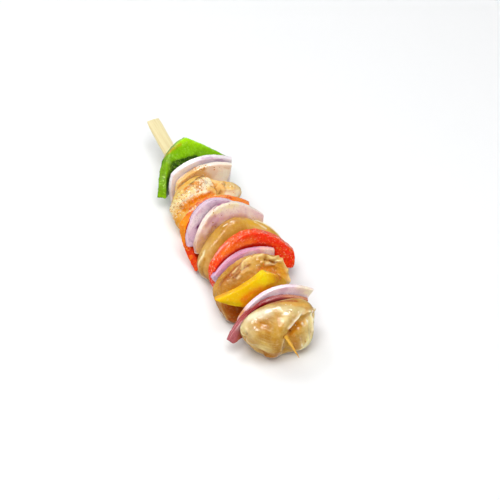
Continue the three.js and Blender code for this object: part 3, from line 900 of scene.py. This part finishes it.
onion_layer(
    "onion_2_inner", skin="#a4608c", vein="#d092b4", flesh="#fff2de", face="#ffe4dc", smear=0.5, wet=0.7,
    paint=[
        ("#fff0c4", 1.1, 1.9, (0, -14, 30), (-3, -8, 35), (-5, -1, 38), (-4, 8, 37)),
        ("#9c5078", 1.2, 0.8, (-3, -14, 30), (-6, -8, 35), (-8, -1, 38), (-8, 5, 38)),
        ("#e09cc0", 0.9, 2.2, (-1, -4, 31), (-1, 5, 30), (0, 12, 28)),
        ("#d6a884", 0.9, 4, (3, -22, 21), (2, -18, 24)),
        # Painted shade: brown-mauve next to chicken_2, where the layer is in shade.
        ("#a85a44", 1.1, 2.2, (5, -21, 17), (4, -17, 20), (1, -12, 24), (-1, -7, 28)),
        ("#d89098", 0.7, 1.6, (-1, -13, 30), (-3, -7, 34)),
    ],
)
onion_layer(
    "onion_3", skin="#94508e", vein="#94508e", flesh="#e4a8c8", face="#e6a0ba", smear=0, wet=0.6,
    paint=[
        ("#ccc0d4", 0.9, 2, (34, -24, 22), (35, -22, 19)),
        ("#ffd0b8", 1, 3.4, (30, 12, 29), (32, 16, 27)),
    ],
)
onion_layer(
    "onion_4_outer", skin="#8e4880", vein="#d8a8cc", flesh="#ffecf8", face="#ffeaf2", smear=0, wet=0.6,
    paint=[
        ("#fff0cc", 1, 4, (68, 21, 25), (69, 26, 21)),
        ("#a4507c", 0.9, 0.7, (70, -12, 26), (70, -3, 29), (70, 6, 30), (70, 15, 28)),
        ("#e09c58", 1.4, 3.4, (67, -18, 19), (68, -20, 12)),
    ],
)
# Painted shade: this layer lies in the cleft between the outer layer and chicken_4, so its flesh, face and
# maroon strokes are darker copies of an onion's colours; its skin is the purple skin.
onion_layer(
    "onion_4_inner", skin="#7c1c34", vein="#7c1c34", flesh="#b04842", face="#9c3830", smear=0, wet=0.25,
    slot="onion_dark",
    folds=[(0.9, 3, (78, -29, 6), (77, -28, 11))],
    paint=[
        ("#8e0e14", 1.1, 4, (70, -15, 23), (69, -9, 25), (69, -5, 26)),
        ("#9c484a", 0.9, 3.6, (70, 0, 26), (70, 5, 26)),
        ("#cc8458", 1.1, 4.2, (69, 11, 25), (71, 17, 23), (72, 22, 19)),
        ("#b8686c", 1.1, 5, (76, -30, 13), (74, -24, 17)),
        ("#c87a34", 1, 1.6, (72, -20, 17), (75, -25, 10), (77, -29, 6)),
    ],
)


# ---- Spices and drops of marinade ----
# What clings to the chunks and slices after basting: coarse flakes of dried spices, and drops of the
# oily marinade. They lie half sunk in the surfaces, where the brush left them.

# The piece that a cluster lies on, its spread, how many it has and the points of the path it follows.
FLAKES = [
    ("chicken_chunk_1", 3, 170, (-36, -22, 16), (-34, -16, 25), (-33, -8, 30), (-37, 1, 31)),
    ("chicken_chunk_1", 3, 24, (-34, 10, 28), (-30, 18, 24)),
    ("onion_layer_1_inner", 1.8, 42, (-53, -4, 27), (-53, 3, 29), (-52, 8, 29), (-51, 20, 26)),
    ("orange_pepper_slice", 1, 60, (-17, -20, 31), (-16, -14, 34), (-15, -6, 35), (-15, 9, 33)),
    ("onion_layer_2_inner", 2.5, 10, (-1, -14, 30), (-5, 0, 38)),
    ("chicken_chunk_3", 6, 22, (42, -8, 30), (45, 12, 27)),
    ("chicken_chunk_4", 9, 8, (84, -10, 30), (90, 10, 22)),
]
DROPS = [
    ("yellow_pepper_slice", 1.6, 9, (57, 7, 30), (58, 13, 24)),
    ("red_pepper_slice", 2, 16, (28, 24, 24), (32, 27, 18), (34, 28, 14)),
    ("chicken_chunk_1", 1.2, 8, (-29, -17, 21), (-27, -8, 28), (-28, 2, 28)),
    ("chicken_chunk_3", 1.8, 14, (46, 4, 29), (47, 12, 26), (50, 14, 20)),
]
FLAKE_PALE = "#fff0cc"
FLAKE_GOLD = "#e0922a"
FLAKE_BROWN = "#c07020"
MARINADE = "#ff8a34"


def scattered(name, clusters, sizes, flatness, lumpiness, seed):
    """One mesh of small lumps on the surfaces of pieces, each cluster spread about its path."""
    rng = random.Random(seed)
    joined = bmesh.new()
    shade = joined.verts.layers.float.new("shade")
    for carrier, spread, count, *path in clusters:
        surface = BVHTree.FromObject(bpy.data.objects[carrier], bpy.context.evaluated_depsgraph_get())
        for _ in range(count):
            step, part = divmod(rng.random() * (len(path) - 1), 1)
            spot = Vector(path[int(step)]).lerp(Vector(path[int(step) + 1]), part)
            spot += Vector([rng.gauss(0, spread) for _ in range(3)])
            place, normal = surface.find_nearest(spot * MM)[:2]
            size = rng.uniform(*sizes) * MM
            spin = Matrix.Rotation(rng.uniform(0, math.tau), 3, "Z").to_quaternion()
            turn = normal.to_track_quat("Z", "Y") @ spin
            scale = Vector((size, size * rng.uniform(0.6, 1), size * flatness))
            lump = bmesh.ops.create_icosphere(
                joined, subdivisions=2, radius=1, matrix=Matrix.LocRotScale(place, turn, scale)
            )
            tone = rng.random()
            for vert in lump["verts"]:
                vert.co += size * lumpiness * noise.noise_vector(vert.co / size * 1.2)
                vert[shade] = tone
    piece = shaped(name, joined)
    piece.data.shade_smooth()
    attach(piece, "root")
    return piece


flakes = scattered("spice_flakes", FLAKES, sizes=(0.25, 0.55), flatness=0.5, lumpiness=0.45, seed=5)
dried, shader, _ = finish("spice flakes", {"Roughness": 0.45, "Coat Weight": 0.6})
tone = mark_of(dried, "shade")
colour = over(FLAKE_PALE, FLAKE_GOLD, tone, 0.3, 0.34)
colour = over(colour, FLAKE_BROWN, tone, 0.7, 0.74)
feed(colour, shader.inputs["Base Color"])
flakes.data.materials.append(dried)

drops = scattered("marinade_drops", DROPS, sizes=(0.25, 0.6), flatness=0.45, lumpiness=0.15, seed=9)
drops.data.materials.append(finish("marinade drops", {
    "Base Color": rgb(MARINADE),
    "Roughness": 0.2,
    "Subsurface Weight": 0.4,
    "Subsurface Radius": (1.0, 0.5, 0.2),
    "Subsurface Scale": 1 * MM,
    "Coat Weight": 1.0,
    "Coat Roughness": 0.05,
})[0])


# ---- Floor, light and camera ----
# A plain white sheet. Wide soft lights above, in front and at the side light the food, and a small one
# like a window behind it. Three more small ones only show in its gloss, as highlights on what is wet.

FLOOR_SIZE = 6
AXIS_HEIGHT = 21 * MM
CAMERA_AZIMUTH = math.radians(66.37)
CAMERA_ELEVATION = math.radians(44.5)
CAMERA_DISTANCE = 1.4
CAMERA_LENS = 164.456
CAMERA_TARGET_X = 20.626 * MM
CAMERA_TARGET_Y = 9.689 * MM  # from the stick's axis
ROOM_LIGHT = 0.22
ROOM_IN_GLOSS = (0.1, 0.7)  # its brightness in gloss, most ways and straight beyond the food

sheet = bmesh.new()
bmesh.ops.create_grid(sheet, x_segments=1, y_segments=1, size=FLOOR_SIZE / 2)
floor = shaped("floor", sheet)
floor.data.materials.append(finish("floor", {"Base Color": rgb("#f4f5f6"), "Roughness": 0.9})[0])
floor.visible_glossy = False  # the wet food would mirror it as a white veil

tip_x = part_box("skewer_stick")[1].x
tip_side = [v.co.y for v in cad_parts["skewer_stick"].data.vertices if v.co.x > tip_x - 0.1 * MM]
axis_y = sum(tip_side) / len(tip_side)
target = Vector((CAMERA_TARGET_X, axis_y + CAMERA_TARGET_Y, AXIS_HEIGHT))
level = math.cos(CAMERA_ELEVATION)
back = Vector((
    math.sin(CAMERA_AZIMUTH) * level, -math.cos(CAMERA_AZIMUTH) * level, math.sin(CAMERA_ELEVATION)
))


def aimed(name, data, way, distance):
    """A camera or light that way from the food, turned to look at it."""
    made = added(name, data)
    made.location = target + way * distance
    made.rotation_mode = "QUATERNION"
    made.rotation_quaternion = (-way).to_track_quat("-Z", "Y")
    return made


camera_data = bpy.data.cameras.new("camera")
camera_data.lens = CAMERA_LENS
bpy.context.scene.camera = aimed("camera", camera_data, back, CAMERA_DISTANCE)


def softbox(name, way, distance, size, power, shines=True, lights=True):
    """A square light that way from the food, and whether it shows in gloss and whether it lights."""
    data = bpy.data.lights.new(name, "AREA")
    data.size = size
    data.energy = power
    box = aimed(name, data, Vector(way).normalized(), distance)
    box.visible_glossy = shines
    box.visible_diffuse = lights


softbox("overhead", (0.2, -0.1, 0.95), 1.2, 0.9, 12.2, shines=False)
softbox("window", (-0.6, -0.2, 0.75), 1.1, 0.4, 3, shines=False)
softbox("window gleam", (-0.6, 0.15, 0.75), 1.1, 0.35, 9, lights=False)
softbox("left gleam", (-0.15, -0.5, 0.83), 1.1, 0.35, 7, lights=False)
softbox("right gleam", (0.35, 0.85, 0.5), 1.1, 0.35, 5, lights=False)
softbox("front", (0.8, -0.4, 0.45), 1.4, 0.9, 2.8, shines=False)
softbox("side", (-0.1, -0.9, 0.35), 1.5, 0.8, 0.8)
world = bpy.data.worlds.new("studio")
world.use_nodes = True
tree = world.node_tree
background = tree.nodes["Background"].inputs
glossy = put("LightPath", {}, tree).outputs["Is Glossy Ray"]
way = put("TexCoord", {}, tree).outputs["Generated"]
behind = put("VectorMath", {0: way, 1: tuple(-back)}, operation="DOT_PRODUCT").outputs["Value"]
shown = between(behind, 0.5, 0.95, *ROOM_IN_GLOSS)
background["Color"].default_value = (1, 1, 1, 1)
strength = put("Mix", {0: glossy, 2: ROOM_LIGHT, 3: shown}).outputs[0]
feed(strength, background["Strength"])
bpy.context.scene.world = world
bpy.context.scene.view_settings.view_transform = "Standard"

bpy.context.view_layer.update()
